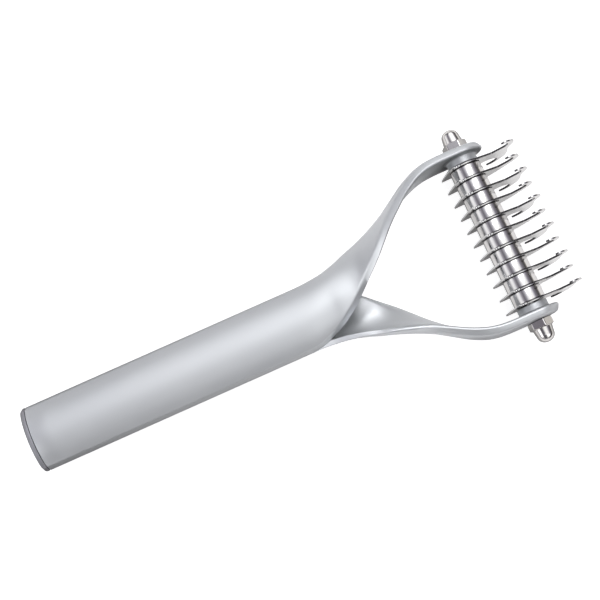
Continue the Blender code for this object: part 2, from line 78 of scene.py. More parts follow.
# ears of the fork
EAR_IN = 30.3            # y of an ear's inner face
EAR_T = 3.3
BOSS_R = 5.55
BOSS_FACE = 27.55        # y of the boss's face
BOSS_FILLET = 0.75
BOSS_EDGE = 0.32

# blade pack
N_BLADES = 11
PITCH = 5.374
BLADE_T = 0.65
STACK_GAP = 0.03
SPACER_R = 5.8
AXLE_R = 2.5
AXLE_FLAT = 2.05
AXLE_END = 39.2
BORE_R = AXLE_R + CLEARANCE
BORE_FLAT = AXLE_FLAT + CLEARANCE
BORE_EDGE = 0.08         # break round a blade's bore
THREAD_R = 2.4
THREAD_START = 31.0
THREAD_PITCH = 0.8
THREAD_DEPTH = 0.34

# cap nuts
NUT_AF = 8.0             # across flats
NUT_HEX = 2.8            # height of the hexagon
NUT_H = 8.0
NUT_DOME_R = 3.55
NUT_DOME_H = 2.7         # height of the rounded top of the dome
NUT_DOME_TAPER = 0.35
NUT_SEAT = EAR_IN + EAR_T + 0.05
NUT_BORE_R = 2.5
NUT_BORE_DEPTH = 6.0
UPPER_NUT_TURN = 90.0 + 45.0   # degrees about the axle
LOWER_NUT_TURN = 90.0 - 22.0

# locating pins
PIN_R = 1.5
PIN_HOLE_R = PIN_R + CLEARANCE
PIN_X = (34.0, 88.0)
PIN_HALF = 4.0
POST_R = 3.4

# Stations of the front shell.  edge_y and edge_z place one inner edge, twist is
# the section's turn about X in degrees, and the rest are sizes across or heights
# above the edges: of the side, the outer crown, the inner crown and the inner wall.
COLUMNS = ('x', 'edge_y', 'edge_z', 'twist', 'width', 'side', 'crown', 'hollow', 'inwall')
ARM = (
    (SPLIT_X, -HALF_W, PARTING, 0.0, 2 * HALF_W, 3.45, HALF_D, HALF_D - WALL, 2.60),
    (105.0, -11.45, 0.27, 1.0, 23.35, 3.45, 7.95, 6.10, 2.50),
    (108.0, -10.70, 0.55, 2.5, 22.80, 3.40, 7.85, 5.90, 2.30),
    (111.0, -9.60, 1.00, 5.0, 22.10, 3.40, 7.60, 5.50, 2.00),
    (114.4, -8.20, 1.56, 9.0, 21.40, 3.35, 7.20, 4.90, 1.60),
    (117.6, -6.45, 2.05, 13.5, 20.70, 3.30, 6.60, 4.10, 1.15),
    (121.0, -4.30, 2.75, 19.5, 20.00, 3.25, 5.95, 3.20, 0.70),
    (125.3, -0.95, 3.70, 28.0, 19.10, 3.20, 5.20, 2.30, 0.40),
    (130.0, 3.10, 4.80, 40.0, 18.30, 3.25, 4.70, 1.45, 0.10),
    (136.0, 8.30, 6.25, 54.0, 17.80, 3.45, 4.60, 0.85, 0.0),
    (140.0, 12.30, 7.05, 64.0, 17.50, 3.65, 4.70, 0.55, 0.0),
    (144.5, 16.90, 7.75, 74.0, 17.30, 3.75, 4.70, 0.30, 0.0),
    (149.8, 21.50, 8.25, 80.0, 17.20, 3.80, 4.60, 0.12, 0.0),
    (153.5, 24.50, 8.45, 83.5, 17.20, 3.75, 4.45, 0.04, 0.0),
    (157.0, 26.80, 8.55, 86.0, 17.20, 3.55, 4.20, 0.0, 0.0),
    (160.5, 28.60, 8.60, 88.0, 17.20, 3.35, 3.90, 0.0, 0.0),
    (165.0, 29.90, 8.60, 89.5, 17.20, 3.05, 3.50, 0.0, 0.0),
    (170.0, EAR_IN, 8.60, 90.0, 17.20, 2.90, EAR_T, 0.0, 0.0),
    (AXLE_X, EAR_IN, 8.60, 90.0, 17.20, 2.90, EAR_T, 0.0, 0.0),
)

# points of a section
N_CORNER = 7
N_ROOF = 33
N_HOLLOW = 15
N_OUTSIDE = 4 * N_CORNER + N_ROOF

# Control points of a blade in its own plane: x from the axle towards the hooks,
# z, and 1 where the outline has a sharp corner.
SINGLE_HOOK = [
    (-2.4, 6.75, 1), (0.0, 7.0, 0), (1.5, 6.84, 0), (2.9, 6.42, 0), (4.6, 5.83, 0),
    (6.4, 5.2, 0), (8.2, 4.56, 0), (9.9, 3.96, 1), (11.5, 4.62, 0), (13.1, 5.4, 0),
    (14.4, 6.3, 0), (15.1, 7.5, 0), (14.8, 9.2, 0), (13.5, 10.3, 0), (11.8, 10.9, 1),
    (12.9, 11.7, 0), (14.6, 11.45, 0), (16.2, 10.25, 0), (17.3, 8.4, 0), (17.3, 6.2, 0),
    (16.2, 4.1, 0), (14.6, 2.2, 0), (12.4, 0.2, 0), (10.4, -1.3, 0), (8.4, -2.8, 0),
    (6.6, -3.9, 0)]
DOUBLE_HOOK = [
    (-2.4, 6.75, 1), (0.0, 7.0, 0), (1.5, 6.84, 0), (2.9, 6.42, 0), (4.6, 5.85, 0),
    (6.4, 5.25, 0), (8.4, 4.62, 0), (10.2, 4.05, 1), (11.8, 4.62, 0), (13.5, 5.2, 0),
    (14.9, 5.9, 0), (15.7, 7.2, 0), (15.4, 9.2, 0), (14.4, 10.3, 0), (12.8, 10.9, 1),
    (13.9, 11.75, 0), (15.5, 11.4, 0), (17.0, 10.2, 0), (18.0, 8.3, 0), (17.8, 5.9, 0),
    (17.0, 3.6, 0), (16.7, 1.2, 0), (17.0, -1.6, 0), (17.0, -4.4, 0), (16.4, -7.0, 0),
    (15.1, -9.1, 0), (13.3, -10.5, 0), (11.5, -11.1, 0), (9.8, -10.7, 1),
    (11.5, -10.05, 0), (12.8, -8.95, 0), (13.4, -7.4, 0), (13.0, -5.7, 0),
    (11.8, -4.4, 0), (10.1, -3.5, 0), (8.4, -3.3, 0), (6.8, -3.8, 0)]
HEEL = [
    (4.5, -5.2, 0), (1.6, -6.4, 0), (-1.8, -6.6, 0), (-5.0, -6.5, 0), (-8.3, -7.0, 1),
    (-7.9, -3.2, 0), (-7.3, 0.9, 0), (-6.6, 5.0, 0), (-5.4, 8.1, 1), (-3.9, 6.0, 0)]
SHANK_END = 7            # control point where the shank meets the throat

# How a blade's rim is worked on one side: how far in, how deep, and how flat
# (0 rolled, 1 a flat bevel).
ROLLED = (0.13, 0.13, 0.0)
CRISP = (0.05, 0.05, 0.0)
ROOT_BEVEL = (0.06, 0.30, 1.0)
SHANK_BEVEL = (0.24, 0.25, 1.0)

# circles (x, z, radius) that pick out parts of a blade's rim: the ground throat, and where
# painted shade goes
THROAT_GROUND = (11.6, 7.9, 4.5)
THROAT_PAINTED_SHADE = (11.2, 7.9, 4.6)
LOWER_HOOK_PAINTED_SHADE = (9.5, -7.2, 4.12)


# ------------------------------------------------------------ curves
def quarter(steps):
    """The angles of a quarter turn, both ends included."""
    return [math.radians(90.0 * i / steps) for i in range(steps + 1)]


def hermite(t):
    """Weights of the first value and slope, then of the second value and slope."""
    return (2 * t ** 3 - 3 * t ** 2 + 1, t ** 3 - 2 * t ** 2 + t,
            3 * t ** 2 - 2 * t ** 3, t ** 3 - t ** 2)


def pchip(xs, ys, x):
    """Monotone cubic through (xs, ys), flat beyond the ends."""
    if x <= xs[0]:
        return ys[0]
    if x >= xs[-1]:
        return ys[-1]
    last = len(xs) - 1
    step = [xs[i + 1] - xs[i] for i in range(last)]
    rate = [(ys[i + 1] - ys[i]) / step[i] for i in range(last)]

    def slope(i):
        if i == 0 or i == last or rate[i - 1] * rate[i] <= 0.0:
            return 0.0
        before = 2 * step[i] + step[i - 1]
        after = step[i] + 2 * step[i - 1]
        return (before + after) / (before / rate[i - 1] + after / rate[i])

    i = max(k for k in range(last) if xs[k] <= x)
    weights = hermite((x - xs[i]) / step[i])
    return (weights[0] * ys[i] + weights[1] * step[i] * slope(i)
            + weights[2] * ys[i + 1] + weights[3] * step[i] * slope(i + 1))


def arc(half, low, high, count):
    """count points inside a circular arc from (-half, low) over (0, high) to (half, low)."""
    sag = high - low
    if sag < 1e-6:
        return [(-half + 2 * half * (i + 1) / (count + 1), low) for i in range(count)]
    radius = (half * half + sag * sag) / (2 * sag)
    reach = math.asin(min(1.0, half / radius))
    angles = [-reach + 2 * reach * (i + 1) / (count + 1) for i in range(count)]
    return [(radius * math.sin(a), high - radius + radius * math.cos(a)) for a in angles]


def outline(points, per_span=8):
    """A closed Catmull-Rom path that breaks at the corners."""
    count, path = len(points), []
    for i in range(count):
        before, start, end, after = (points[(i + k) % count] for k in (-1, 0, 1, 2))
        if start[2]:
            before = start
        if end[2]:
            after = end
        for j in range(per_span):
            weights = hermite(j / per_span)
            path.append(tuple(
                weights[0] * start[k] + weights[1] * ((end[k] - before[k]) / 2)
                + weights[2] * end[k] + weights[3] * ((after[k] - start[k]) / 2)
                for k in (0, 1)))
    return path


def flatted_circle(radius, flat, steps=16):
    """A circle with two flats, at x = +flat and x = -flat."""
    first = math.acos(flat / radius)
    angles = [math.pi * side + first + (math.pi - 2 * first) * i / steps
              for side in (0, 1) for i in range(steps + 1)]
    return [(radius * math.cos(a), radius * math.sin(a)) for a in angles]


def resample(points, count):
    """count points spaced evenly along an open polyline, ends kept."""
    spans = [math.dist(a, b) for a, b in zip(points, points[1:])]
    total, result = sum(spans), []
    for i in range(count):
        rest, k = total * i / (count - 1), 0
        while k < len(spans) - 1 and rest > spans[k]:
            rest -= spans[k]
            k += 1
        t = min(1.0, rest / spans[k]) if spans[k] else 0.0
        a, b = points[k], points[k + 1]
        result.append((a[0] + t * (b[0] - a[0]), a[1] + t * (b[1] - a[1])))
    return result


def area(points):
    """Signed area of a closed outline, positive when it runs anticlockwise."""
    return 0.5 * sum(a[0] * b[1] - b[0] * a[1]
                     for a, b in zip(points, points[1:] + points[:1]))


def offset(points, distances):
    """Each point moved to the left of the path by its own distance, mitred."""
    count, result = len(points), []
    for i, p in enumerate(points):
        a, b = points[i - 1], points[(i + 1) % count]
        arriving = Vector((p[0] - a[0], p[1] - a[1])).normalized()
        leaving = Vector((b[0] - p[0], b[1] - p[1])).normalized()
        normal = Vector((-arriving.y, arriving.x))
        mitre = normal + Vector((-leaving.y, leaving.x))
        if mitre.length < 1e-6:
            mitre = normal.copy()
        mitre.normalize()
        stretch = min(2.2, 1.0 / max(0.2, mitre.dot(normal)))
        result.append((p[0] + mitre.x * distances[i] * stretch,
                       p[1] + mitre.y * distances[i] * stretch))
    return result


def tidy(points, least=0.03):
    """Drops points that sit on top of their neighbour."""
    result = []
    for p in points:
        if not result or math.dist(p, result[-1]) > least:
            result.append(p)
    if math.dist(result[0], result[-1]) < least:
        result.pop()
    return result


# ------------------------------------------------------------ sections of the shell
def station(x):
    """The section's sizes at x, by column name."""
    xs = [row[0] for row in ARM]
    return {name: pchip(xs, [row[column] for row in ARM], x)
            for column, name in enumerate(COLUMNS) if column}


def section(sizes):
    """One closed section as (across, up).

    Across runs from the edge at (edge_y, edge_z) to the other; up is outward.
    """
    half, side = sizes['width'] / 2, sizes['side']
    # 0 on the grip, 1 where the arm has become a strap
    strap = min(1.0, max(0.0, sizes['twist'] / 60.0))
    low_round = min(0.10 + 0.80 * strap, 0.45 * half, 0.4 * side)
    top_round = min(0.15 + 1.25 * strap, 0.45 * half, 0.4 * side)
    strap_lean = min(1.55, 1.10 + 0.55 * max(0.0, side - 2.9))
    lean = min(1.15 * (1.0 - strap) + strap_lean * strap, 0.35 * half)

    left = [(-half + low_round * (1 - math.sin(a)), low_round * (1 - math.cos(a)))
            for a in quarter(N_CORNER - 1)]
    # the shoulder: a quadratic curve from the leaning side into the roof
    shoulder = (-half + lean, side)
    rising = Vector((lean, side - low_round)).normalized()
    before = min(top_round, 0.45 * (side - low_round))
    start = (shoulder[0] - rising.x * before, shoulder[1] - rising.y * before)
    roof_half = half - lean
    sag = max(sizes['crown'] - side, 0.02)
    roof_radius = (roof_half * roof_half + sag * sag) / (2 * sag)
    rise = math.asin(min(1.0, roof_half / roof_radius))
    after = min(before, 0.45 * roof_half)
    end = (shoulder[0] + math.cos(rise) * after, side + math.sin(rise) * after * 0.92)
    for i in range(N_CORNER):
        t = i / (N_CORNER - 1)
        left.append(tuple((1 - t) ** 2 * start[k] + 2 * t * (1 - t) * shoulder[k]
                          + t * t * end[k] for k in (0, 1)))
    points = left + arc(-end[0], end[1], sizes['crown'], N_ROOF)
    points += [(-across, up) for across, up in reversed(left)]

    # the inside, from the far edge back
    inwall = sizes['inwall']
    foot = half - max(min(WALL, 0.3 * half), low_round + 0.1 * half)
    spring = foot - 0.35 * min(1.0, inwall / 2.0) - 0.05 * half
    points += [(foot, 0.0), (spring, inwall)]
    points += reversed(arc(spring, inwall, max(sizes['hollow'], inwall), N_HOLLOW))
    points += [(-spring, inwall), (-foot, 0.0)]
    return points


def inset_outside(points, distance):
    """A section with its outside moved inward, but not below its edges."""
    result = []
    for i, p in enumerate(points):
        if i < N_OUTSIDE:
            a, b = points[i - 1], points[i + 1]
            along = Vector((b[0] - a[0], b[1] - a[1]))
            if along.length >= 1e-9:
                along.normalize()
                p = (p[0] + along.y * distance, p[1] - along.x * distance)
        result.append((p[0], max(p[1], 0.0)))
    return result


def point(x, y, z):
    """A place given in millimetres, in scene units."""
    return Vector((x, y, z)) * MM


def shell_ring(x, shrink=0.0):
    """The section at x, as points in space."""
    sizes = station(x)
    points = section(sizes)
    if shrink:
        points = inset_outside(points, shrink)
    twist = math.radians(sizes['twist'])
    sine, cosine = math.sin(twist), math.cos(twist)
    half = sizes['width'] / 2
    mid_y, mid_z = sizes['edge_y'] + half * cosine, sizes['edge_z'] - half * sine
    return [point(x, mid_y + across * cosine + up * sine, mid_z - across * sine + up * cosine)
            for across, up in points]


def ear_ring(angle):
    """The section at the axle, swung about the axle to make the ear's round end."""
    return [point(AXLE_X + abs(across) * math.sin(angle), EAR_IN + up,
                  -across * math.cos(angle))
            for across, up in section(station(AXLE_X))]


# ------------------------------------------------------------ mesh helpers
detail = bpy.data.collections.new('detail')
helpers = bpy.data.collections.new('helpers')
bpy.context.scene.collection.children.link(detail)
bpy.context.scene.collection.children.link(helpers)


def mesh_object(name, bm, collection=detail):
    bmesh.ops.recalc_face_normals(bm, faces=bm.faces)
    mesh = bpy.data.meshes.new(name)
    bm.to_mesh(mesh)
    bm.free()
    ob = bpy.data.objects.new(name, mesh)
    collection.objects.link(ob)
    return ob


def bridge(bm, first, second):
    """Faces between two closed rows of vertices; a row of one vertex is a pole."""
    count, faces = max(len(first), len(second)), []
    for i in range(count):
        j = (i + 1) % count
        if len(first) == 1:
            corners = (first[0], second[j], second[i])
        elif len(second) == 1:
            corners = (first[i], first[j], second[0])
        else:
            corners = (first[i], first[j], second[j], second[i])
        faces.append(bm.faces.new(corners))
    return faces


def loft(name, rings, cap_far_end=True):
    """Skin closed rings of equal count."""
    bm = bmesh.new()
    rows = [[bm.verts.new(p) for p in ring] for ring in rings]
    for first, second in zip(rows, rows[1:]):
        bridge(bm, first, second)
    ends = [bm.faces.new(rows[0])]
    if cap_far_end:
        ends.append(bm.faces.new(list(reversed(rows[-1]))))
    bmesh.ops.triangulate(bm, faces=ends)
    bmesh.ops.remove_doubles(bm, verts=bm.verts, dist=1e-7)
    bmesh.ops.dissolve_degenerate(bm, edges=bm.edges, dist=1e-8)
    return mesh_object(name, bm)


def lathe(name, profile, segments, y0=0.0, flip=1, axis_x=AXLE_X, weld=False,
          collection=detail):
    """Turn a closed or pole-to-pole profile about a line along Y.

    The profile's entries are (radius, height) with, for a row that isn't round, a
    function that gives its radius from (radius, angle).  Height runs from y0.
    """
    bm = bmesh.new()
    closed = profile[0] == profile[-1]
    rows = []
    for radius, height, *shape in profile[:-1] if closed else profile:
        y = y0 + flip * height
        if radius < 1e-6:
            rows.append([bm.verts.new(point(axis_x, y, 0))])
            continue
        row = []
        for i in range(segments):
            a = 2 * math.pi * i / segments
            r = shape[0](radius, a) if shape else radius
            row.append(bm.verts.new(point(axis_x + r * math.sin(a), y, r * math.cos(a))))
        rows.append(row)
    if closed:
        rows.append(rows[0])
    for first, second in zip(rows, rows[1:]):
        bridge(bm, first, second)
    if weld:
        bmesh.ops.remove_doubles(bm, verts=bm.verts, dist=2e-7)
        bmesh.ops.dissolve_degenerate(bm, edges=bm.edges, dist=2e-7)
    return mesh_object(name, bm, collection)


def upright_cylinder(name, radius, x, low, high):
    """A helper cylinder along Z."""
    start, end = point(x, 0, low), point(x, 0, high)
    bm = bmesh.new()
    bmesh.ops.create_cone(bm, cap_ends=True, segments=64, radius1=radius * MM,
                          radius2=radius * MM, depth=(end - start).length)
    turn = (end - start).to_track_quat('Z', 'Y').to_matrix().to_4x4()
    bmesh.ops.transform(bm, matrix=Matrix.Translation((start + end) / 2) @ turn,
                        verts=bm.verts)
    return mesh_object(name, bm, helpers)


def combine(ob, other, operation):
    modifier = ob.modifiers.new(operation.lower(), 'BOOLEAN')
    modifier.operation = operation
    modifier.object = other
    modifier.solver = 'EXACT'


def bake(ob):
    """Replace an object's mesh by its evaluated one, and drop its modifiers' helpers."""
    tools = [m.object for m in ob.modifiers if m.type == 'BOOLEAN']
    bpy.context.view_layer.update()
    depsgraph = bpy.context.evaluated_depsgraph_get()
    mesh = bpy.data.meshes.new_from_object(ob.evaluated_get(depsgraph))
    mesh.name = ob.name
    ob.modifiers.clear()
    ob.data = mesh
    for tool in tools:
        bpy.data.objects.remove(tool, do_unlink=True)
    return ob


def smooth(ob, angle):
    """Shade smooth, with edges sharper than angle (degrees) kept sharp."""
    ob.data.shade_smooth()
    ob.data.set_sharp_from_angle(angle=math.radians(angle))
    return ob


def dress(ob, material, body, second=None):
    """Give a piece its materials and its place on the frame.

    It replaces the CAD node it is named after.
    """
    mesh = ob.data
    picked = [p.material_index for p in mesh.polygons]
    mesh.materials.clear()
    mesh.materials.append(material)
    if second:
        mesh.materials.append(second)
        # clearing the materials also cleared the faces' choice
        mesh.polygons.foreach_set('material_index', picked)
    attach(ob, body)
    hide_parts(ob.name.removesuffix('_detail'))


# ------------------------------------------------------------ shells
def boss(name):
    """The boss as one turned solid: broken edge at its face, a fillet at its root."""
    root, top = BOSS_R + BOSS_FILLET, EAR_IN - BOSS_FACE
    profile = [(0.0, -1.0), (root, -1.0), (root, 0.02)]
    profile += [(root - BOSS_FILLET * math.sin(a), 0.05 + BOSS_FILLET * (1 - math.cos(a)))
                for a in quarter(6)]
    profile += [(BOSS_R - BOSS_EDGE * (1 - math.cos(a)),
                 top - BOSS_EDGE + BOSS_EDGE * math.sin(a)) for a in quarter(4)]
    profile.append((0.0, top))
    return lathe(name, profile, segments=112, y0=EAR_IN, flip=-1, collection=helpers)


def ear_bore():
    """The ear's bore, with a small countersink where the nut seats."""
    countersink = 0.3
    wide = BORE_R + countersink
    profile = [(0.0, -4.5), (BORE_R, -4.5), (BORE_R, -0.01), (wide, 0.31), (wide, 1.6),
               (0.0, 1.6)]
    return lathe('bore', profile, segments=64, y0=EAR_IN + EAR_T - countersink,
                 collection=helpers)


def shell(name, turned):
    """One half of the handle with its arm and ear; turned over, it is the rear half."""
    grip_steps, neck_steps, ear_steps = 14, 124, 22
    grip_start = SHELL_START + 0.35
    grip_length = SPLIT_X - 1.5 - grip_start
    rings = [shell_ring(SHELL_START, 0.32), shell_ring(SHELL_START + 0.12, 0.12)]
    rings += [shell_ring(grip_start + grip_length * i / grip_steps)
              for i in range(grip_steps + 1)]
    rings += [shell_ring(SPLIT_X + (AXLE_X - SPLIT_X) * i / neck_steps)
              for i in range(neck_steps + 1)]
    rings += [ear_ring(a) for a in quarter(ear_steps)[1:]]
    # the ear's last ring folds onto itself, so it needs no cap
    ob = loft(name, rings, cap_far_end=False)
    combine(ob, boss(name + '_boss'), 'UNION')
    for x in PIN_X:
        combine(ob, upright_cylinder('post', POST_R, x, PARTING, HALF_D - 1.0), 'UNION')
        combine(ob, upright_cylinder('hole', PIN_HOLE_R, x, -1.0, PIN_HALF + 0.3),
                'DIFFERENCE')
    combine(ob, ear_bore(), 'DIFFERENCE')
    bake(ob)
    if turned:
        ob.data.transform(Matrix.Rotation(math.pi, 4, 'X'))
    return smooth(ob, 34.0)


# ------------------------------------------------------------ butt cap
def cap_outline(half_outline):
    """An evenly spaced outline from its +Z half and that half turned over."""
    points = resample(half_outline, 72)
    return points + [(-y, -z) for y, z in points]


def cap_ring(x, points, pull):
    """The outline at x, drawn in by pull at its widest."""
    scale_y, scale_z = 1 - pull / HALF_W, 1 - pull / HALF_D
    return [point(x, y * scale_y, z * scale_z) for y, z in points]


def butt_cap():
    grip = section(station(50.0))
    sides = [p for p in grip[:N_OUTSIDE] if p[1] > 0.6]
    outer = cap_outline([(-HALF_W, 0.25)] + sides + [(HALF_W, 0.25)])
    # the spigot follows the shell's inside with a little play
    spigot_half = HALF_W - WALL - 0.35
    hollow = [(y * 0.975, z - 0.25) for y, z in reversed(grip[N_OUTSIDE:]) if z > 0.05]
    spigot = cap_outline([(-spigot_half, 0.3)] + hollow + [(spigot_half, 0.3)])
    # a shallow dish in the end face, just inside its round
    rings = [cap_ring(0.22, outer, CAP_ROUND + 1.35),
             cap_ring(0.2, outer, CAP_ROUND + 0.95),
             cap_ring(0.0, outer, CAP_ROUND + 0.6)]
    rings += [cap_ring(CAP_ROUND * (1 - math.sin(a)), outer, CAP_ROUND * (1 - math.cos(a)))
              for a in reversed(quarter(10))]
    rings += [cap_ring(CAP_T - 0.15, outer, 0.0), cap_ring(CAP_T, outer, 0.15),
              cap_ring(CAP_T, spigot, 0.0), cap_ring(SPIGOT_END - 0.4, spigot, 0.0),
              cap_ring(SPIGOT_END, spigot, 0.4)]
    return smooth(loft('butt_cap_detail', rings), 34.0)


# ------------------------------------------------------------ blades
def inside(x, z, circle):
    return (x - circle[0]) ** 2 + (z - circle[1]) ** 2 < circle[2] ** 2


def edge_work(x, z, shank_end):
    """How the rim is worked at a point: three values for the +Y side, three for -Y.

    The +Z edge of the shank is bevelled on its -Y side; the throat stays crisp.
    """
    if -2.3 < x < 2.8 and z > 5.0:
        return CRISP + ROOT_BEVEL
    if 2.8 <= x < shank_end - 0.2 and z > 3.7:
        return CRISP + SHANK_BEVEL
    if shank_end - 0.2 <= x < 16.2 and 3.9 < z < 8.2 and inside(x, z, THROAT_GROUND):
        return CRISP + CRISP
    return ROLLED + ROLLED


def gets_painted_shade(x, z, bevel_side, double):
    """Whether the rim gets painted shade: a near-black colour standing for shadow and dark
    reflections on the +Z edge, throat and tip, and inside the lower hook.
    """
    if -2.5 < x < 10.0 and z > 3.6:
        return not bevel_side
    if 10.0 <= x < 15.2 and z > 3.6 and inside(x, z, THROAT_PAINTED_SHADE):
        return z < 10.6 or x < (13.6 if double else 12.7)
    return double and x > 7.4 and z < -3.3 and inside(x, z, LOWER_HOOK_PAINTED_SHADE)


def blade(name, y_mid, double):
    """A plate with a worked rim and a flatted bore."""
    hook = DOUBLE_HOOK if double else SINGLE_HOOK
    outer = tidy(outline(hook + HEEL))
    if area(outer) < 0:
        outer.reverse()
    bore = flatted_circle(BORE_R, BORE_FLAT)
    bore.reverse()                       # clockwise, so left of it is metal too
    count = len(outer)
    work = [edge_work(x, z, hook[SHANK_END][0]) for x, z in outer]
    for _ in range(5):                   # the work's size eases along the edge
        work = [tuple((work[i - 1][k] + 2 * work[i][k] + work[(i + 1) % count][k]) / 4
                      for k in range(6)) for i in range(count)]
    half = BLADE_T / 2
    bm = bmesh.new()

    def row(line, ys):
        return [bm.verts.new(point(AXLE_X + p[0], y_mid + y, p[1]))
                for p, y in zip(line, ys)]

    steps = 3
    sides = []                           # rows of the +Y side, then of the -Y side
    lines = []                           # the innermost outline of each side
    for sign, first in ((1, 0), (-1, 3)):
        rows = []
        for j in range(steps + 1):
            t = j / steps
            a = math.pi / 2 * t
            distances, ys = [], []
            for values in work:
                width, depth, flat = values[first:first + 3]
                distances.append(width * (flat * t + (1 - flat) * (1 - math.cos(a))))
                ys.append(sign * (half - depth
                                  + depth * (flat * t + (1 - flat) * math.sin(a))))
            line = offset(outer, distances) if j else outer
            rows.append(row(line, ys))
        sides.append(rows)
        lines.append(line)
    up, down = sides
    bore_rim = offset(bore, [BORE_EDGE] * len(bore))
    wall_up, wall_down = (row(bore, [y] * len(bore))
                          for y in (half - BORE_EDGE, -half + BORE_EDGE))
    rim_up, rim_down = (row(bore_rim, [y] * len(bore)) for y in (half, -half))

    strips = [(down[0], up[0])] + list(zip(up, up[1:]))
    strips += [(b, a) for a, b in zip(down, down[1:])]
    for k, (low, high) in enumerate(strips):
        for i, face in enumerate(bridge(bm, low, high)):
            a, b = outer[i], outer[(i + 1) % count]
            # these rim faces take the second material, a painted shade
            if gets_painted_shade((a[0] + b[0]) / 2, (a[1] + b[1]) / 2, k > steps, double):
                face.material_index = 1
    for low, high in ((wall_down, wall_up), (wall_up, rim_up), (rim_down, wall_down)):
        bridge(bm, low, high)
    for edge, line, rim in ((up[-1], lines[0], rim_up), (down[-1], lines[1], rim_down)):
        verts = edge + rim
        for triangle in tessellate_polygon([[Vector((*p, 0)) for p in line],
                                            [Vector((*p, 0)) for p in bore_rim]]):
            # the tessellation may give a degenerate or a repeated triangle
            try:
                bm.faces.new([verts[i] for i in triangle])
            except ValueError:
                pass
    ob = smooth(mesh_object(name, bm), 40.0)
    modifier = ob.modifiers.new('weighted', 'WEIGHTED_NORMAL')
    modifier.keep_sharp = True
    modifier.weight = 100
    return bake(ob)


# ------------------------------------------------------------ spacers, axle, nuts, pins
def spacer(name, y_mid):
    """A turned ring with a shallow undercut at each end, where the blades bear.

    The undercut is coloured near-black, a painted shade.
    """
    half = (PITCH - BLADE_T) / 2 - STACK_GAP
    land_r = SPACER_R - 0.40
    edge, undercut, bore_break = 0.14, 0.22, 0.12
    shoulder = half - undercut
    profile = [(BORE_R, half - bore_break), (BORE_R + bore_break, half), (land_r, half),
               (land_r, shoulder)]
    profile += [(SPACER_R - edge + edge * math.sin(a), shoulder - edge + edge * math.cos(a))
                for a in quarter(5)]
    profile += [(SPACER_R - edge + edge * math.cos(a), -shoulder + edge - edge * math.sin(a))
                for a in quarter(5)]
    profile += [(land_r, -shoulder), (land_r, -half), (BORE_R + bore_break, -half),
                (BORE_R, -half + bore_break), (BORE_R, half - bore_break)]
    ob = smooth(lathe(name, profile, segments=120, y0=y_mid), 34.0)
    # the undercut's faces take the second material: painted shade
    for face in ob.data.polygons:
        x, y, z = face.center
        if (math.hypot(x - AXLE_X * MM, z) > (land_r - 0.1) * MM
                and abs(y - y_mid * MM) > (shoulder - 0.04) * MM):
            face.material_index = 1
    return ob


def axle():
    """Two flats along the middle and a rolled thread at each end."""
    pack_half = (N_BLADES - 1) / 2 * PITCH + BLADE_T / 2
    flatted = flatted_circle(AXLE_R, AXLE_FLAT, 20)
    angles = [math.atan2(z, x) for x, z in flatted]
    core_r = THREAD_R - THREAD_DEPTH
    thread_end = AXLE_END - 0.6
    steps = int((thread_end - THREAD_START) / (THREAD_PITCH / 8))

    def ring(y, radii):
        return [point(AXLE_X + r * math.cos(a), y, r * math.sin(a))
                for r, a in zip(radii, angles)]

    def plain(y, radius):
        return ring(y, [radius] * len(angles))

    def threaded(y):
        radii = []
        for a in angles:
            phase = (y / THREAD_PITCH + a / (2 * math.pi)) % 1.0
            tooth = min(1.0, max(0.0, 1.35 * (1 - abs(2 * phase - 1)) - 0.1))
            radii.append(THREAD_R - THREAD_DEPTH * (1 - tooth))
        return ring(y, radii)

    def half_axle(sign):
        """The rings of one half, from the middle out."""
        rings = [[point(AXLE_X + x, sign * pack_half, z) for x, z in flatted],
                 plain(sign * (pack_half + 0.02), THREAD_R),
                 plain(sign * (THREAD_START - 0.4), THREAD_R)]
        rings += [threaded(sign * (THREAD_START + (thread_end - THREAD_START) * i / steps))
                  for i in range(steps + 1)]
        return rings + [plain(sign * (AXLE_END - 0.45), core_r),
                        plain(sign * AXLE_END, THREAD_R * 0.8)]

    return smooth(loft('axle_detail', half_axle(-1)[::-1] + half_axle(1)), 30.0)


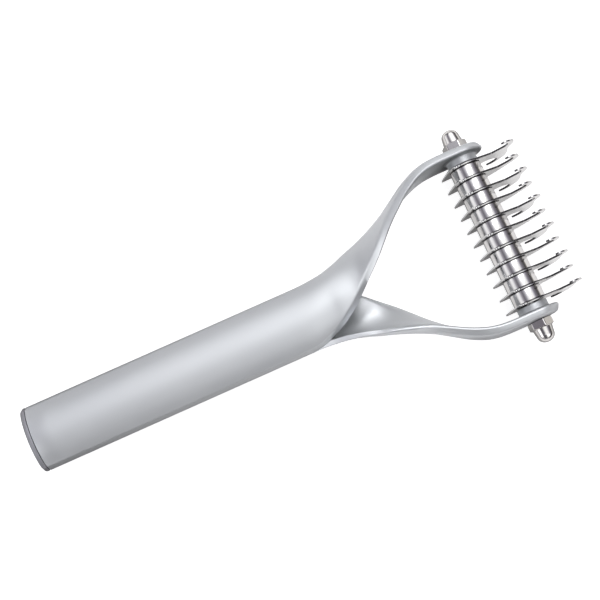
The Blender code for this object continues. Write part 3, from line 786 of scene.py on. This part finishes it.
def cap_nut(name, sign, turn):
    """A domed nut: chamfered hexagon, a groove under the dome, and a blind bore."""
    corner, flat = NUT_AF / math.sqrt(3), NUT_AF / 2
    lead = corner - flat
    low_chamfer, high_chamfer = 0.30 * lead, 0.75 * lead
    side = NUT_HEX - low_chamfer - high_chamfer
    face_r = flat - 0.12
    phase = math.radians(turn)

    def hexagon(limit, angle):
        """The slightly rounded hexagon's radius, cut by a circle of radius limit."""
        radius = flat / math.cos((angle - phase) % (math.pi / 3) - math.pi / 6)
        soft = corner - 0.10
        if radius > soft:
            radius = soft + (radius - soft) * 0.35
        return min(radius, limit)

    rows = [(0.0, NUT_BORE_DEPTH), (NUT_BORE_R * 0.6, NUT_BORE_DEPTH - 0.25),
            (NUT_BORE_R, NUT_BORE_DEPTH - 0.7), (NUT_BORE_R, 0.35),
            (NUT_BORE_R + 0.35, 0.0), (face_r, 0.0)]
    # lower chamfer, straight sides, upper chamfer
    rows += [(face_r + (lead + 0.14) * i / 6, low_chamfer * i / 6, hexagon)
             for i in range(1, 7)]
    rows += [(corner + 0.1, low_chamfer + side * i / 8, hexagon) for i in range(1, 8)]
    rows += [(corner + 0.02 - (lead + 0.28) * i / 12,
              NUT_HEX - high_chamfer * (1 - i / 12), hexagon) for i in range(13)]
    # the groove, then the dome
    groove = 0.12
    rows += [(NUT_DOME_R + 0.22, NUT_HEX), (NUT_DOME_R + 0.06, NUT_HEX + 0.03),
             (NUT_DOME_R, NUT_HEX + groove)]
    straight = NUT_H - NUT_HEX - NUT_DOME_H
    rows += [(NUT_DOME_R - NUT_DOME_TAPER * i / 8,
              NUT_HEX + groove + (straight - groove) * i / 8) for i in range(1, 9)]
    rows += [((NUT_DOME_R - NUT_DOME_TAPER) * math.cos(a),
              NUT_HEX + straight + NUT_DOME_H * math.sin(a)) for a in quarter(18)[1:]]
    return smooth(lathe(name, rows, segments=168, y0=sign * NUT_SEAT, flip=sign, weld=True),
                  24.0)


def dowel(name, x):
    tip_r, shoulder = PIN_R - 0.3, PIN_HALF - 0.45
    profile = [(0.0, -PIN_HALF), (tip_r, -PIN_HALF), (PIN_R, -shoulder),
               (PIN_R, shoulder), (tip_r, PIN_HALF), (0.0, PIN_HALF)]
    ob = lathe(name, profile, segments=48, axis_x=0.0)
    # turned along Y: stand it along Z at its place
    ob.data.transform(Matrix.Translation(point(x, 0, 0))
                      @ Matrix.Rotation(math.pi / 2, 4, 'X'))
    return smooth(ob, 30.0)


# ------------------------------------------------------------ materials
class Nodes:
    """Builds a node tree; a value may be a number, a colour or another node's output."""

    def __init__(self, tree):
        self.tree = tree

    def feed(self, socket, value):
        if hasattr(value, 'is_output'):
            self.tree.links.new(value, socket)
        elif socket.type == 'RGBA' and len(value) == 3:
            socket.default_value = (*value, 1.0)
        else:
            socket.default_value = value

    def add(self, kind, values=None, **props):
        node = self.tree.nodes.new(kind)
        for key, value in props.items():
            setattr(node, key, value)
        for key, value in (values or {}).items():
            if value is not None:
                self.feed(node.inputs[key], value)
        return node

    def math(self, operation, a, b=None, clamp=False):
        return self.add('ShaderNodeMath', {0: a, 1: b}, operation=operation,
                        use_clamp=clamp).outputs[0]

    def noise(self, vector, scale, detail=3.0, rough=0.5, stretch=(1, 1, 1)):
        mapping = self.add('ShaderNodeMapping', {'Vector': vector, 'Scale': stretch})
        return self.add('ShaderNodeTexNoise', {
            'Vector': mapping.outputs[0], 'Scale': scale, 'Detail': detail,
            'Roughness': rough}).outputs['Fac']

    def span(self, value, ends, to=(0.0, 1.0), smooth=False):
        """Maps the range ends onto the range to, clamped."""
        return self.add('ShaderNodeMapRange', {
            'Value': value, 'From Min': ends[0], 'From Max': ends[1],
            'To Min': to[0], 'To Max': to[1]},
            interpolation_type='SMOOTHSTEP' if smooth else 'LINEAR').outputs[0]

    def vary(self, noise, low=0.0, high=1.0):
        """Maps the middle of a noise, where most of it lies, onto low to high."""
        return self.span(noise, ends=(0.3, 0.7), to=(low, high))

    def mix(self, factor, a, b, blend='MIX'):
        # inputs 6 and 7 and output 2 are the node's colour sockets
        return self.add('ShaderNodeMix', {0: factor, 6: a, 7: b}, data_type='RGBA',
                        blend_type=blend).outputs[2]

    def bump(self, height, strength, distance, normal=None):
        return self.add('ShaderNodeBump', {'Height': height, 'Strength': strength,
                                           'Distance': distance, 'Normal': normal}).outputs[0]

    def ramp(self, factor, stops):
        """A linear colour ramp through (position, colour)."""
        node = self.add('ShaderNodeValToRGB', {'Fac': factor})
        node.color_ramp.interpolation = 'LINEAR'
        elements = node.color_ramp.elements
        for element, stop in ((elements[0], stops[0]), (elements[1], stops[-1])):
            element.position = stop[0]
            element.color = (*stop[1], 1)
        for position, colour in stops[1:-1]:
            elements.new(position).color = (*colour, 1)
        return node.outputs['Color']

    def geometry(self, output):
        return self.add('ShaderNodeNewGeometry').outputs[output]

    def coordinates(self, output):
        return self.add('ShaderNodeTexCoord').outputs[output]

    def split(self, vector):
        return self.add('ShaderNodeSeparateXYZ', {0: vector}).outputs


def metal_material(name, metallic=1.0):
    """A material, its node builder and the inputs of its shader."""
    material = bpy.data.materials.new(name)
    material.use_nodes = True
    inputs = material.node_tree.nodes['Principled BSDF'].inputs
    inputs['Metallic'].default_value = metallic
    return material, Nodes(material.node_tree), inputs


def shade(colour, factor):
    return tuple(min(1.0, c * factor) for c in colour)


def satin(name, base, rough):
    """Bead-blasted, tumbled light alloy: soft grain, faint flow marks, rubbed edges.

    The edges' lighter colour is partly rubbed wear and partly a painted highlight; the
    corners get painted shade.
    """
    material, n, inputs = metal_material(name, metallic=0.92)
    place = n.coordinates('Object')
    grain = n.noise(place, scale=3600.0, detail=2.0, rough=0.6)
    speck = n.noise(place, scale=1300.0, rough=0.65)
    flow = n.noise(place, scale=95.0, detail=4.0, rough=0.55, stretch=(0.45, 1.0, 1.0))
    cloud = n.noise(place, scale=28.0, detail=2.0)
    hair = n.noise(place, scale=900.0, detail=2.0, stretch=(0.05, 1.0, 1.0))

    tone = n.math('ADD', n.vary(flow, low=-0.018, high=0.018),
                  n.vary(cloud, low=-0.012, high=0.012))
    tone = n.math('ADD', tone, n.vary(speck, low=-0.012, high=0.012))
    # lighter, shinier edges: partly rubbed wear, partly a painted highlight on the ridges
    edge_wear_and_sheen = n.span(n.geometry('Pointiness'), ends=(0.510, 0.545))
    darkest = tuple(c * d for c, d in zip(base, (0.93, 0.935, 0.945)))
    colour = n.mix(n.span(tone, ends=(-0.05, 0.05)), a=darkest, b=shade(base, factor=1.035))
    colour = n.mix(n.math('MULTIPLY', edge_wear_and_sheen, 0.85), a=colour, b=shade(base, factor=1.26))

    # painted shade: the colour darkens where ambient occlusion finds corners, most on
    # faces across Y, and towards the fork
    near = n.add('ShaderNodeAmbientOcclusion', {'Distance': 0.011}, samples=6)
    facing = n.split(n.geometry('Normal'))['Y']
    openness = n.span(n.math('POWER', near.outputs['AO'], 1.3, clamp=True), ends=(0.0, 0.85))
    painted_shade = n.math('SUBTRACT', 1.0, openness, clamp=True)
    facing = n.math('POWER', n.math('ABSOLUTE', facing), 2.0)
    painted_shade = n.math('MULTIPLY', painted_shade, n.span(facing, ends=(0.0, 1.0), to=(0.15, 1.0)))
    along = n.split(place)['X']
    painted_shade = n.math('MULTIPLY', painted_shade,
                    n.span(along, ends=(0.128, 0.150), to=(0.12, 1.0), smooth=True))
    # mix the painted shade into the colour
    colour = n.mix(painted_shade, a=colour, b=shade(base, factor=0.15))
    n.feed(inputs['Base Color'], colour)

    roughness = n.math('ADD', rough, n.vary(speck, low=-0.02, high=0.02))
    roughness = n.math('ADD', roughness, n.vary(flow, low=-0.025, high=0.025))
    roughness = n.math('SUBTRACT', roughness, n.math('MULTIPLY', edge_wear_and_sheen, 0.10))
    n.feed(inputs['Roughness'], roughness)

    normal = n.bump(grain, strength=0.10, distance=0.00003)
    normal = n.bump(speck, strength=0.10, distance=0.00006, normal=normal)
    normal = n.bump(hair, strength=0.03, distance=0.00003, normal=normal)
    n.feed(inputs['Normal'], normal)
    return material


def turned_steel(name, base, rough, line_strength=0.10):
    """Polished bar: fine turning lines round the axle, and a little smear in its shine."""
    material, n, inputs = metal_material(name)
    place = n.coordinates('Object')
    lines = n.noise(place, scale=2600.0, rough=0.6, stretch=(0.03, 1.0, 0.03))
    smear = n.noise(place, scale=210.0)
    pits = n.noise(place, scale=1500.0, detail=2.0)
    n.feed(inputs['Base Color'], n.mix(n.vary(smear), a=shade(base, factor=0.96), b=base))

    roughness = n.math('ADD', rough, n.vary(smear, low=-0.02, high=0.035))
    roughness = n.math('ADD', roughness, n.vary(lines, low=-0.015, high=0.015))
    n.feed(inputs['Roughness'], roughness)

    normal = n.bump(lines, strength=line_strength, distance=0.000012)
    normal = n.bump(pits, strength=0.03, distance=0.00001, normal=normal)
    n.feed(inputs['Normal'], normal)
    return material


def blade_steel(name, base, rough):
    """Ground sheet steel: straight grinding lines, a slightly worn and polished rim."""
    material, n, inputs = metal_material(name)
    place = n.coordinates('Object')
    lines = n.noise(place, scale=1700.0, rough=0.6, stretch=(0.05, 0.4, 1.0))
    cloud = n.noise(place, scale=160.0)
    fine = n.noise(place, scale=4200.0, detail=2.0)
    edge_wear_and_sheen = n.span(n.geometry('Pointiness'), ends=(0.52, 0.6))
    colour = n.mix(n.vary(cloud), a=shade(base, factor=0.93), b=base)
    colour = n.mix(n.math('MULTIPLY', edge_wear_and_sheen, 0.3), a=colour, b=shade(base, factor=1.1))
    n.feed(inputs['Base Color'], colour)

    roughness = n.math('ADD', rough, n.vary(cloud, low=-0.03, high=0.03))
    roughness = n.math('ADD', roughness, n.vary(lines, low=-0.03, high=0.03))
    n.feed(inputs['Roughness'], roughness)

    normal = n.bump(lines, strength=0.12, distance=0.000015)
    normal = n.bump(fine, strength=0.04, distance=0.00001, normal=normal)
    n.feed(inputs['Normal'], normal)
    return material


SATIN = satin('satin_alloy_detail', base=(0.560, 0.575, 0.590), rough=0.52)
CAP = satin('satin_cap_detail', base=(0.35, 0.35, 0.375), rough=0.50)
POLISHED = turned_steel('polished_steel_detail', base=(0.655, 0.645, 0.64), rough=0.085)
NUT = turned_steel('nut_steel_detail', base=(0.655, 0.64, 0.625), rough=0.10,
                   line_strength=0.05)
BLADE = blade_steel('blade_steel_detail', base=(0.60, 0.60, 0.60), rough=0.15)
# near-black steel: painted shade and painted dark reflection on the blades' rims and the
# spacers' undercuts
PAINTED_SHADE_STEEL = blade_steel('blade_edge_detail', base=(0.075, 0.072, 0.075), rough=0.30)
ROD = turned_steel('rod_steel_detail', base=(0.58, 0.58, 0.58), rough=0.24)

# ------------------------------------------------------------ the pieces
dress(shell('front_half_detail', turned=False), SATIN, 'handle')
dress(shell('rear_half_detail', turned=True), SATIN, 'handle')
dress(butt_cap(), CAP, 'handle')
for k, x in enumerate(PIN_X, start=1):
    dress(dowel(f'locating_pin_{k}_detail', x), ROD, 'handle')

# the pack, from +Y to -Y, with a double hook first and last
for k in range(N_BLADES):
    y = ((N_BLADES - 1) / 2 - k) * PITCH
    dress(blade(f'blade_{k + 1:02d}_detail', y, double=k % 2 == 0),
          BLADE, 'blade_pack', second=PAINTED_SHADE_STEEL)
for k in range(N_BLADES - 1):
    y = ((N_BLADES - 2) / 2 - k) * PITCH
    dress(spacer(f'spacer_{k + 1:02d}_detail', y),
          POLISHED, 'blade_pack', second=PAINTED_SHADE_STEEL)
dress(axle(), ROD, 'blade_pack')
dress(cap_nut('upper_cap_nut_detail', 1, UPPER_NUT_TURN), NUT, 'upper_nut')
dress(cap_nut('lower_cap_nut_detail', -1, LOWER_NUT_TURN), NUT, 'lower_nut')

# ------------------------------------------------------------ floor (metres from here on)
scene = bpy.context.scene
scene.view_settings.view_transform = 'Standard'
scene.view_settings.look = 'None'
scene.view_settings.exposure = 0.0
scene.view_settings.gamma = 1.0


def floor_object():
    """A wide table just under the CAD pieces."""
    bm = bmesh.new()
    bmesh.ops.create_grid(bm, x_segments=8, y_segments=8, size=3.0)
    mesh = bpy.data.meshes.new('floor')
    bm.to_mesh(mesh)
    bm.free()
    ob = bpy.data.objects.new('floor', mesh)
    ob.location = (0.1, 0.0, cad_box[0][2] - 0.0004)
    scene.collection.objects.link(ob)
    return ob


def floor_material():
    """Pale to the camera; to the metal, a lit table with soft contact shade.

    It is clear from below.
    """
    material = bpy.data.materials.new('floor_pale')
    material.use_nodes = True
    material.node_tree.nodes.clear()
    n = Nodes(material.node_tree)
    path = n.add('ShaderNodeLightPath')
    where = n.split(n.geometry('Position'))
    seen = n.add('ShaderNodeEmission', {'Color': (1.0, 1.0, 1.0), 'Strength': 0.86})
    soft = n.add('ShaderNodeBsdfDiffuse', {'Color': (0.45, 0.45, 0.45)})
    both = n.add('ShaderNodeAddShader', {0: seen.outputs[0], 1: soft.outputs[0]})

    # shade under the grip, under the blade pack and beyond the pack's ends
    x, y = where['X'], n.math('ABSOLUTE', where['Y'])
    grip = n.math('MULTIPLY', n.span(x, ends=(0.125, 0.100), smooth=True),
                  n.span(y, ends=(0.085, 0.035), smooth=True))
    grip = n.math('MULTIPLY', grip, n.span(x, ends=(0.0, 0.10), to=(0.82, 0.45)))
    pack = n.math('MULTIPLY', n.math('MULTIPLY', n.span(x, ends=(0.163, 0.168), smooth=True),
                                     n.span(x, ends=(0.184, 0.177), smooth=True)),
                  n.span(y, ends=(0.040, 0.026), to=(0.0, 0.44), smooth=True))
    ends = n.math('MULTIPLY', n.math('MULTIPLY', n.span(x, ends=(0.142, 0.152), smooth=True),
                                     n.span(x, ends=(0.270, 0.235), smooth=True)),
                  n.math('MULTIPLY',
                         n.span(y, ends=(0.060, 0.052), to=(0.0, 0.55), smooth=True),
                         n.span(y, ends=(0.030, 0.036), smooth=True)))
    pack = n.math('MAXIMUM', pack, ends)
    lit = n.math('SUBTRACT', 1.0, n.math('MAXIMUM', grip, pack))
    glow = n.add('ShaderNodeEmission', {'Color': (1.0, 0.985, 0.975),
                                        'Strength': n.math('MULTIPLY', lit, 0.14)})
    matt = n.add('ShaderNodeBsdfDiffuse', {
        'Color': n.mix(lit, a=(0.0, 0.0, 0.0), b=(0.90, 0.89, 0.88))})
    mirrored = n.add('ShaderNodeAddShader', {0: glow.outputs[0], 1: matt.outputs[0]})
    top = n.add('ShaderNodeMixShader', {0: path.outputs['Is Camera Ray'],
                                        1: mirrored.outputs[0], 2: both.outputs[0]})
    clear = n.add('ShaderNodeBsdfTransparent')
    surface = n.add('ShaderNodeMixShader', {0: n.geometry('Backfacing'),
                                            1: top.outputs[0], 2: clear.outputs[0]})
    n.add('ShaderNodeOutputMaterial', {'Surface': surface.outputs[0]})
    return material


floor = floor_object()
floor.data.materials.append(floor_material())

# ------------------------------------------------------------ studio
# soft boxes and dark gaps: (degrees from straight up towards +X, colour)
BANDS = [
    (-120, (0.92, 0.90, 0.91)), (-92, (0.86, 0.85, 0.87)), (-87, (0.45, 0.45, 0.47)),
    (-82, (0.34, 0.34, 0.37)), (-76, (0.70, 0.70, 0.72)), (-67, (0.92, 0.92, 0.93)),
    (-55, (0.74, 0.74, 0.77)), (-46, (0.36, 0.35, 0.39)), (-34, (0.165, 0.155, 0.18)),
    (-26, (0.22, 0.21, 0.24)), (-17, (0.42, 0.42, 0.46)), (-8, (0.88, 0.88, 0.91)),
    (-2, (1.0, 1.0, 1.0)), (27, (1.0, 1.0, 1.0)), (34, (0.72, 0.72, 0.76)),
    (42, (0.32, 0.31, 0.36)), (49, (0.19, 0.18, 0.21)), (57, (0.155, 0.145, 0.165)),
    (66, (0.085, 0.08, 0.085)), (74, (0.085, 0.083, 0.085)), (80, (0.14, 0.13, 0.13)),
    (85, (0.40, 0.38, 0.37)), (90, (0.66, 0.64, 0.60)), (120, (0.66, 0.64, 0.60))]
# brightness along Y: (0 at -Y to 1 at +Y, grey)
BAND_FADE = [
    (0.0, 0.42), (0.02, 0.36), (0.05, 0.24), (0.10, 0.40), (0.26, 0.72), (0.38, 0.89),
    (0.50, 0.98), (0.64, 1.08), (0.80, 1.06), (0.89, 0.85), (0.935, 0.34), (0.965, 0.36),
    (0.985, 0.80), (1.0, 0.85)]
WING_SPREAD = [
    (0.0, 0.0), (0.06, 0.35), (0.13, 1.1), (0.25, 0.85), (0.40, 0.05), (0.50, 0.0),
    (0.64, 0.05), (0.78, 0.85), (0.90, 1.2), (0.95, 0.45), (1.0, 0.0)]


def greys(stops):
    return [(position, (value,) * 3) for position, value in stops]


def studio_world():
    """The room, painted round the object by direction."""
    world = bpy.data.worlds.new('studio')
    scene.world = world
    world.use_nodes = True
    world.node_tree.nodes.clear()
    n = Nodes(world.node_tree)
    direction = n.coordinates('Generated')
    x, y, z = n.split(direction)
    lean = n.math('ARCTAN2', x, z)       # angle from straight up, towards +X
    bands = n.ramp(n.span(lean, ends=(-math.pi, math.pi)),
                   [(degrees / 360.0 + 0.5, colour) for degrees, colour in BANDS])
    side = n.span(y, ends=(-1.0, 1.0))
    faded = n.mix(1.0, bands, n.ramp(side, greys(BAND_FADE)), blend='MULTIPLY')

    # two broad wings beside the main box, leaning towards the blade end
    rise = n.span(lean, ends=(math.radians(-6), math.radians(13)), smooth=True)
    fall = n.span(lean, ends=(math.radians(62), math.radians(40)), smooth=True)
    wing = n.math('MULTIPLY', rise, fall)
    wings = n.mix(1.0, wing, n.ramp(side, greys(WING_SPREAD)), blend='MULTIPLY')
    room = n.mix(1.0, faded, wings, blend='ADD')

    # one dark flag high up, towards -X and -Y
    flag = n.add('ShaderNodeVectorMath', {
        0: direction, 1: Vector((-0.40, -0.50, 0.77)).normalized()}, operation='DOT_PRODUCT')
    flag = n.span(flag.outputs['Value'], ends=(0.875, 0.972), smooth=True)
    room = n.mix(n.math('MULTIPLY', flag, 0.85), a=room, b=(0.09, 0.088, 0.095))

    # the camera itself sees a plain pale backdrop
    camera_ray = n.add('ShaderNodeLightPath').outputs['Is Camera Ray']
    shown = n.mix(camera_ray, a=room, b=(0.93, 0.935, 0.94))
    strength = n.span(camera_ray, ends=(0.0, 1.0), to=(1.42, 1.0))
    background = n.add('ShaderNodeBackground', {'Color': shown, 'Strength': strength})
    n.add('ShaderNodeOutputWorld', {'Surface': background.outputs[0]})


studio_world()


# ------------------------------------------------------------ lights
def aim_light(light, place, aim):
    ob = bpy.data.objects.new(light.name, light)
    ob.location = place
    ob.rotation_euler = (Vector(aim) - Vector(place)).to_track_quat('-Z', 'Y').to_euler()
    scene.collection.objects.link(ob)
    return ob


def softbox(name, place, aim, size, power):
    light = bpy.data.lights.new(name, 'AREA')
    light.shape = 'RECTANGLE'
    light.size, light.size_y = size
    light.energy = power
    aim_light(light, place, aim)


def fork_spot():
    """A small spot that reaches into the fork, on the rear half only."""
    lit = bpy.data.collections.new('lit_by_fork_spot')
    lit.objects.link(bpy.data.objects['rear_half_detail'])
    light = bpy.data.lights.new('fork_spot', 'SPOT')
    light.energy = 1.15
    light.shadow_soft_size = 0.035
    light.spot_size = math.radians(17)
    light.spot_blend = 1.0
    ob = aim_light(light, place=(0.132, 0.082, 0.080), aim=(0.107, -0.011, 0.0))
    ob.light_linking.receiver_collection = lit
    ob.light_linking.blocker_collection = lit


softbox('key_softbox', place=(0.34, 0.20, 0.85), aim=(0.12, 0.0, 0.0), size=(0.35, 0.5),
        power=1.2)
softbox('fill_softbox', place=(-0.75, -0.35, 0.55), aim=(0.10, 0.0, 0.0), size=(0.5, 0.5),
        power=0.8)
fork_spot()

# ------------------------------------------------------------ camera
CAMERA_PLACE = Vector((0.093574, -0.062602, 0.408649))
# the camera's own X, Y and Z directions
CAMERA_AXES = Matrix((
    (0.913543, -0.404429, -0.043309),
    (0.405787, 0.898931, 0.165106),
    (-0.027842, -0.168406, 0.985324))).transposed()

camera_data = bpy.data.cameras.new('camera')
camera_data.lens = 70.725
camera_data.sensor_width = 36.0
camera_data.clip_start = 0.01
camera_data.clip_end = 20.0
camera = bpy.data.objects.new('camera', camera_data)
scene.collection.objects.link(camera)
camera.matrix_world = Matrix.Translation(CAMERA_PLACE) @ CAMERA_AXES.to_4x4()
scene.camera = camera

bpy.context.view_layer.update()
